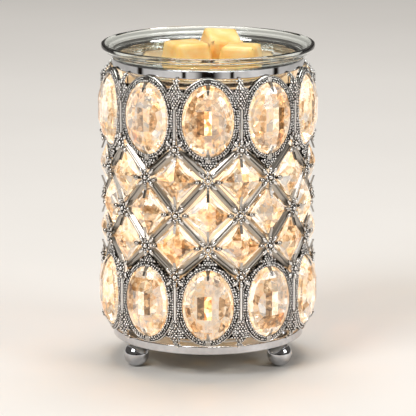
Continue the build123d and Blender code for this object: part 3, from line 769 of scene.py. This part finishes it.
def tasselPoints():
    # beads round the end of a strut; the strut's joint is at X 0 and the frames fall away beside it
    step, funnel = beads["spacing"], tassel["funnel"]
    drop = cornerRadius - layout["bandFront"] - tassel["strutRadius"]
    points = []
    for row in range(tassel["rows"]):
        down = tassel["start"] + row * step * beads["rowShare"]
        low, high = [pair for pair in zip(funnel, funnel[1:])
                     if pair[0][0] * mm <= down <= pair[1][0] * mm][0]
        share = (down / mm - low[0]) / (high[0] - low[0])
        half = (low[1] + (high[1] - low[1]) * share) * mm
        count = int(half / step)
        for column in range(-count, count + 1):
            x = (column + (0.5 if row % 2 and count else 0)) * step
            if abs(x) > half:
                continue
            # towards the band the strut leans in, and the beads with it
            lean = max(0, 1 - down / beads["window"]) * drop
            out = tassel["over"] if abs(x) < tassel["overHalf"] else tassel["beside"]
            points.append((x, down, cornerRadius - abs(x) * math.tan(pitch / 2) + out - lean))
    return points


def tassels():
    # below the funnel a row of small beads runs down to the node on each side of the strut
    ball = ballProto(beads["sides"], beads["bands"], (beads["diameter"],) * 3)
    small = ballProto(tassel["smallSides"], tassel["smallBands"], (tassel["smallBead"],) * 3)
    length = bandBelow - nodeLevel[1] - tassel["flowerRoom"]
    aside = tassel["strutRadius"] + tassel["smallBead"] * tassel["smallAside"]
    level = cornerRadius - aside * math.tan(pitch / 2) + tassel["smallRise"]
    downs = range(tassel["smallStart"], round(length / mm * 10), tassel["smallStep"])
    rowPoints = [(side * aside, (down + side * tassel["smallStagger"]) * mm / 10, level)
                 for side in (-1, 1) for down in downs]
    funnelSeed, rowSeed = tassel["seeds"]
    oneTassel = joined(copyTo(ball, scattered(tasselPoints(), funnelSeed))
                       + copyTo(small, scattered(rowPoints, rowSeed)))
    places = []
    for angle in nodeAngles:
        places.append(facing(angle, 0, bandBelow) @ Matrix.Rotation(math.pi, 4, "Z"))
        places.append(facing(angle, 0, bandAbove))
    row = joined(copyTo(oneTassel, places))
    discard(ball, small, oneTassel)
    dress(row, "strutTassels", "cage", finish["antiqueAndShade"], smooth=180)
    print("tassels set")


tassels()


# flowers on the lattice's nodes

flower = {
    # how far it stands off what it lies on, and the sides and bands of the balls it is made from
    "gap": 0.1 * mm,
    "balls": {"dome": (10, 6), "ring": (7, 5), "boss": (8, 5), "leaf": (12, 7), "rice": (8, 6)},
    "ringBeads": 9,
    "ringRadius": 2.25 * mm,
    "ringBead": 1.5 * mm,
    "ringLift": 0.4,
    "domeDiameter": 2.7 * mm,
    "domeLift": 0.7 * mm,
    # the boss under the dome: width and height as multiples of its size
    "boss": 1.3 * mm,
    "bossWide": 2.4,
    "bossHigh": 2,
    "leaves": 4,
    "leafLength": 4.0 * mm,
    "leafWidth": 2.3 * mm,
    "leafHeight": 1.1 * mm,
    "leafStart": 2.4 * mm,
    "leafLift": 0.4,
    # how much narrower its ends are, its height along the crease, and the rise towards its sides
    "leafTaper": 0.55,
    "leafCrease": 0.75,
    "leafSides": 0.35,
    "riceLength": 3.0 * mm,
    "riceWidth": 1.8 * mm,
    "riceLift": 0.45,
    # up or down from the node, by row
    "riceReach": {1: 4.0 * mm, 2: 3.9 * mm, 4: -3.9 * mm, 5: -4.0 * mm},
}


def leafProto():
    # a ball pressed into a leaf: pointed at both ends, with a crease along its middle
    size = (flower["leafLength"], flower["leafWidth"], flower["leafHeight"])
    leaf = ballProto(*flower["balls"]["leaf"], size)
    leaf.data.transform(Matrix.Rotation(math.pi / 2, 4, "Y"))
    leaf.data.transform(Matrix.Diagonal((flower["leafLength"] / flower["leafHeight"], 1,
                                         flower["leafHeight"] / flower["leafLength"], 1)))
    for v in leaf.data.vertices:
        along = abs(v.co.x) / (flower["leafLength"] / 2)
        v.co.y *= 1 - flower["leafTaper"] * along
        v.co.z *= flower["leafCrease"] + flower["leafSides"] * abs(v.co.y) / (flower["leafWidth"] / 2)
    return leaf


def flowerRow(row, angles, reach):
    balls = flower["balls"]
    dome = ballProto(*balls["dome"], (flower["domeDiameter"],) * 3)
    ringBall = ballProto(*balls["ring"], (flower["ringBead"],) * 3)
    bossWidth = flower["boss"] * flower["bossWide"]
    boss = ballProto(*balls["boss"], (bossWidth, bossWidth, flower["boss"] * flower["bossHigh"]))
    leaf = leafProto()
    grain = ballProto(*balls["rice"], (flower["riceWidth"], flower["riceLength"], flower["riceWidth"]))
    ringTurns = [Matrix.Rotation(math.tau * (k + 0.5) / flower["ringBeads"], 4, "Z")
                 for k in range(flower["ringBeads"])]
    leafTurns = [Matrix.Rotation(math.tau * (k + 0.5) / flower["leaves"], 4, "Z")
                 for k in range(flower["leaves"])]
    parts = copyTo(dome, [Matrix.Translation((0, 0, flower["domeLift"]))])
    parts += copyTo(boss, [Matrix.Identity(4)])
    onRing = Matrix.Translation((flower["ringRadius"], 0, flower["ringBead"] * flower["ringLift"]))
    parts += copyTo(ringBall, [turn @ onRing for turn in ringTurns])
    middle = flower["leafStart"] + flower["leafLength"] / 2
    onLeaf = Matrix.Translation((middle, 0, flower["leafHeight"] * flower["leafLift"]))
    parts += copyTo(leaf, [turn @ onLeaf for turn in leafTurns])
    # a grain above or below the flower, except in the middle row
    if row in flower["riceReach"]:
        grainPlace = (0, flower["riceReach"][row], flower["riceWidth"] * flower["riceLift"])
        parts += copyTo(grain, [Matrix.Translation(grainPlace)])
    oneFlower = joined(parts)
    whole = joined(copyTo(oneFlower, [facing(angle, reach, nodeLevel[row]) for angle in angles]))
    discard(dome, ringBall, boss, leaf, grain, oneFlower)
    dress(whole, f"nodeFlowersRow{row}", "cage", finish["antiqueAndShade"],
          f"rosettes_row_{row}", smooth=180)


# the outer rows lie on the corners between frames, the others on the straps
for row in (1, 3, 5):
    flowerRow(row, nodeAngles, (strapFace if row == 3 else cornerRadius) + flower["gap"])
for row in (2, 4):
    flowerRow(row, ovalAngles, strapFace + flower["gap"])
print("flowers set")


# dish, drawn out ring by ring from its underside

dish = {
    "steps": 128,
    # section from the edge of the underside round the lip to the floor: radius and height, in mm
    "section": [(36.0, 148.2), (39.6, 149.2), (41.6, 151.0), (47.3, 158.9), (47.7, 159.5),
                (50.0, 159.5), (50.9, 159.9), (54.3, 163.4), (54.9, 164.1), (55.0, 164.9), (54.8, 165.7),
                (54.2, 166.1), (53.5, 166.1), (52.8, 165.7), (52.3, 165.0), (51.5, 164.05), (50.95, 163.88),
                (50.05, 162.87), (49.45, 162.7), (48.35, 161.45), (47.7, 161.3), (46.6, 160.0),
                (46.0, 159.95), (44.6, 158.1), (44.1, 158.05), (42.6, 155.9), (42.1, 155.85),
                (40.9, 153.9), (40.0, 152.7), (38.2, 151.6), (34.5, 151.2), (30.0, 151.2),
                (29.5, 151.35), (28.6, 151.35), (28.1, 151.2)],
}


def drawnOut(section, steps):
    # a disc whose edge, all its points but the middle one, is extruded from ring to ring and closed
    # in the middle of the last one
    deselectAll()
    radius, level = section[0]
    bpy.ops.mesh.primitive_circle_add(vertices=steps, radius=radius * mm, fill_type="TRIFAN")
    piece = bpy.context.active_object
    piece.data.transform(Matrix.Translation((0, 0, level * mm)))
    editWhere(piece, lambda place: math.hypot(place.x, place.y) > 1 * mm)
    for (radius, level), (nextRadius, nextLevel) in zip(section, section[1:]):
        bpy.ops.mesh.extrude_edges_move(TRANSFORM_OT_translate={"value": (0, 0, (nextLevel - level) * mm)})
        share = nextRadius / radius
        bpy.ops.transform.resize(value=(share, share, 1), center_override=(0, 0, 0))
    bpy.ops.mesh.extrude_edges_move()
    bpy.ops.mesh.merge(type="CENTER")
    bpy.ops.mesh.select_all(action="SELECT")
    bpy.ops.mesh.normals_make_consistent(inside=False)
    bpy.ops.object.mode_set(mode="OBJECT")
    return piece


dishPiece = drawnOut(dish["section"], dish["steps"])
dress(dishPiece, "glassDishPressed", "dish", finish["dishGlass"], "glass_dish", smooth=32)
print("dish drawn out:", len(dishPiece.data.vertices), "points")


# wax cubes

# sizes in mm and turns in degrees, about each axis
waxLook = {
    "left": {"node": "wax_cube_left", "size": (23.0, 23.0, 16.0), "turn": (0, 0, 24.0)},
    "right": {"node": "wax_cube_right", "size": (21.5, 21.5, 14.6), "turn": (0, 0, -14.0)},
    "rear": {"node": "wax_cube_rear", "size": (21.5, 21.5, 14.0), "turn": (16.0, 9.0, 14.0)},
}
waxPour = {
    "topShare": 0.84,
    "edge": 2.6 * mm,
    "edgeSteps": 5,
    "cuts": 3,
    # waves over the sides: how many, their length, least and greatest weight, and depth
    "waves": 6,
    "waveLength": 5 * mm,
    "waveWeight": (0.35, 0.7),
    "waveDepth": 0.09 * mm,
    "phases": (0, 6.28),
    "hollow": 0.35 * mm,
    "firstSeed": 3,
}


def waxCube(key, seed):
    spec = waxLook[key]
    low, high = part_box(spec["node"])
    x, y, z = (v * mm for v in spec["size"])
    deselectAll()
    bpy.ops.mesh.primitive_cube_add(size=1)
    cube = bpy.context.active_object
    cube.data.transform(Matrix.Translation((0, 0, z / 2)) @ Matrix.Diagonal((x, y, z, 1)))
    editWhere(cube, lambda place: place.z > z / 2)
    share = waxPour["topShare"]
    bpy.ops.transform.resize(value=(share, share, 1), center_override=(0, 0, 0))
    bpy.ops.object.mode_set(mode="OBJECT")
    bevel = cube.modifiers.new("edge", "BEVEL")
    bevel.width, bevel.segments = waxPour["edge"], waxPour["edgeSteps"]
    bpy.ops.object.modifier_apply(modifier=bevel.name)
    bpy.ops.object.mode_set(mode="EDIT")
    bpy.ops.mesh.select_all(action="SELECT")
    bpy.ops.mesh.subdivide(number_cuts=waxPour["cuts"])
    bpy.ops.object.mode_set(mode="OBJECT")
    # hand-poured cubes: shallow hollows and soft, uneven sides
    random.seed(seed)
    waves = [(Vector([random.uniform(-1, 1) for _ in range(3)]).normalized(),
              random.uniform(*waxPour["phases"]), random.uniform(*waxPour["waveWeight"]))
             for _ in range(waxPour["waves"])]
    for v in cube.data.vertices:
        lift = sum(math.sin(v.co.dot(along) / waxPour["waveLength"] + phase) * weight
                   for along, phase, weight in waves)
        v.co -= v.normal * (waxPour["hollow"] + waxPour["waveDepth"] * lift)
    turn = Matrix.Identity(4)
    for axis, angle in zip("XYZ", spec["turn"]):
        turn = turn @ Matrix.Rotation(math.radians(angle), 4, axis)
    cube.data.transform(turn)
    # it stands where its solid does: the same middle seen from above, and the same lowest point
    points = [v.co for v in cube.data.vertices]
    middles = [(min(p[i] for p in points) + max(p[i] for p in points)) / 2 for i in (0, 1)]
    shift = [(low[i] + high[i]) / 2 - middles[i] for i in (0, 1)]
    cube.data.transform(Matrix.Translation((*shift, low.z - min(p.z for p in points))))
    dress(cube, key + "WaxCube", "wax_" + key, finish["wax"], spec["node"], smooth=60)


for seed, key in enumerate(waxLook):
    waxCube(key, seed + waxPour["firstSeed"])
print("wax cubes shaped")


# finishes of the pieces that come from the frame as they are

carried = {
    "chrome": ["top_band", "bottom_band", "ball_feet", "foot_collars"],
    "pebbled": ["upper_oval_frames", "lower_oval_frames"],
    "strap": ["straps_row_1", "straps_row_2", "straps_row_3", "straps_row_4"],
    "antiqueAndShade": ["upper_struts", "lower_struts"],
    "claw": ["upper_oval_claws", "lower_oval_claws", "upper_square_claws", "middle_square_claws",
             "lower_square_claws"],
    "plate": ["base_plate"],
    "zinc": ["foot_studs", "foot_nuts", "foot_washers", "holder_nipple", "holder_lock_nut"],
    "brass": ["holder_screw_shell", "holder_centre_contact", "bulb_cap", "bulb_tip_contact"],
    "porcelain": ["lamp_holder_body"],
    "rubber": ["cord_inlet_bush"],
    "vitrite": ["bulb_insulator"],
    "lamp": ["bulb_glass", "bulb_stem"],
    "wire": ["bulb_lead_wires", "bulb_filament"],
}
for look, names in carried.items():
    for name in names:
        node = nodes[name]
        node.data.materials.clear()
        node.data.materials.append(finish[look])
print("frame pieces dressed")


# floor, lamps and camera

studio = {
    "floorSize": 12.0,
    # the floor's two tones and the size of their clouds in metres
    "floorTones": ("#E4E0DA", "#E9E5DF"),
    "floorCloud": 0.3,
    "worldColour": "#8C8782",
    "worldStrength": 0.45,
    "aim": (0, 0, 0.08),
    # name, place in metres, size in metres, power in watts
    "lamps": [("keyLamp", (-1.1, -1.3, 1.5), 0.9, 29), ("fillLamp", (1.5, -0.9, 0.9), 0.7, 13),
              ("topLamp", (0.1, 0.5, 1.9), 1.2, 28)],
    # the bulb's own light, given off just outside its glass
    "bulbColour": "#FFD9A6",
    "bulbPower": 2.0,
    "bulbMargin": 1 * mm,
    # low black cards that the camera doesn't see, which the plated bands mirror: place, width, height
    "flags": [((0, -0.5, 0.05), 0.3, 0.1), ((-0.23, -0.45, 0.05), 0.06, 0.1),
              ((0.23, -0.45, 0.05), 0.06, 0.1), ((-0.5, -0.05, 0.05), 0.11, 0.1),
              ((0.5, -0.05, 0.05), 0.11, 0.1)],
}
bpy.ops.mesh.primitive_plane_add(size=studio["floorSize"], location=(0, 0, 0))
floor = bpy.context.active_object
floor.name = "studioFloor"
floor.data.materials.append(plainMaterial("paperFloorMatte", *studio["floorTones"], studio["floorCloud"],
                                          {"Roughness": 0.55, "Specular IOR Level": 0.3}, 0.02))

# black card with edges frayed thin: the plating mirrors a dark patch that fades out sideways
cardBlack, cardShader, cardPlace = newMaterial("cardBlackFrayed", {
    "Roughness": 0.9, "Specular IOR Level": 0.1})
cardTone = addNode(cardBlack, "ShaderNodeTexNoise", {"Scale": 1 / (40 * mm)},
                   {"Vector": (cardPlace, "Object")})
addNode(cardBlack, "ShaderNodeValToRGB", {"stops": [(0.3, "#0F0C0A"), (0.7, "#2A1D13")]},
        {"Fac": (cardTone, "Fac")}, {"Color": [(cardShader, "Base Color")]})
cardSide = addNode(cardBlack, "ShaderNodeSeparateXYZ", links={"Vector": (cardPlace, "UV")})
addNode(cardBlack, "ShaderNodeValToRGB", {"stops": [
    (0.0, "#000000"), (0.32, "#FFFFFF"), (0.68, "#FFFFFF"), (1.0, "#000000")]},
    {"Fac": (cardSide, "X")}, {"Color": [(cardShader, "Alpha")]})
for number, (place, width, height) in enumerate(studio["flags"]):
    deselectAll()
    bpy.ops.mesh.primitive_plane_add(size=1)
    flag = bpy.context.active_object
    flag.name = f"studioFlag{number}"
    turn = Vector((place[0], place[1], 0)).to_track_quat("Z", "Y").to_matrix().to_4x4()
    flag.data.transform(Matrix.Translation(place) @ turn @ Matrix.Diagonal((width, height, 1, 1)))
    flag.data.materials.append(cardBlack)
    flag.visible_camera = flag.visible_diffuse = flag.visible_shadow = flag.visible_transmission = False

world = bpy.context.scene.world or bpy.data.worlds.new("studio")
bpy.context.scene.world = world
world.use_nodes = True
backdrop = world.node_tree.nodes["Background"]
backdrop.inputs["Color"].default_value = colour(studio["worldColour"])
backdrop.inputs["Strength"].default_value = studio["worldStrength"]

for name, place, size, power in studio["lamps"]:
    data = bpy.data.lights.new(name, "AREA")
    data.shape, data.size, data.energy = "SQUARE", size, power
    lamp = bpy.data.objects.new(name, data)
    lamp.location = place
    aim = Vector(studio["aim"]) - Vector(place)
    lamp.rotation_euler = aim.to_track_quat("-Z", "Y").to_euler()
    bpy.context.scene.collection.objects.link(lamp)

low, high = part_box("bulb_glass")
bulbRadius = (high.x - low.x) / 2
glow = bpy.data.lights.new("bulbGlow", "POINT")
glow.color, glow.energy = colour(studio["bulbColour"])[:3], studio["bulbPower"]
glow.shadow_soft_size = bulbRadius + studio["bulbMargin"]
bulbGlow = bpy.data.objects.new("bulbGlow", glow)
bulbGlow.location = (0, 0, high.z - bulbRadius)
bulbGlow.visible_camera = bulbGlow.visible_transmission = False
bpy.context.scene.collection.objects.link(bulbGlow)

# distances in metres, the elevation in degrees, the focal length in pixels of the photograph
view = {"distance": 1.5, "elevation": 12.42, "aimHeight": 0.0787, "focalPixels": 2883.5,
        "picture": 416, "sensor": 36.0, "clipEnd": 50}
cameraData = bpy.data.cameras.new("viewCamera")
cameraData.sensor_width = view["sensor"]
cameraData.lens = view["focalPixels"] / view["picture"] * view["sensor"]
cameraData.clip_end = view["clipEnd"]
camera = bpy.data.objects.new("viewCamera", cameraData)
tilt = math.radians(view["elevation"])
camera.location = (0, -view["distance"] * math.cos(tilt),
                   view["aimHeight"] + view["distance"] * math.sin(tilt))
camera.rotation_euler = (math.pi / 2 - tilt, 0, 0)
bpy.context.scene.collection.objects.link(camera)
bpy.context.scene.camera = camera
bpy.context.scene.view_settings.view_transform = "Standard"
print("studio set")
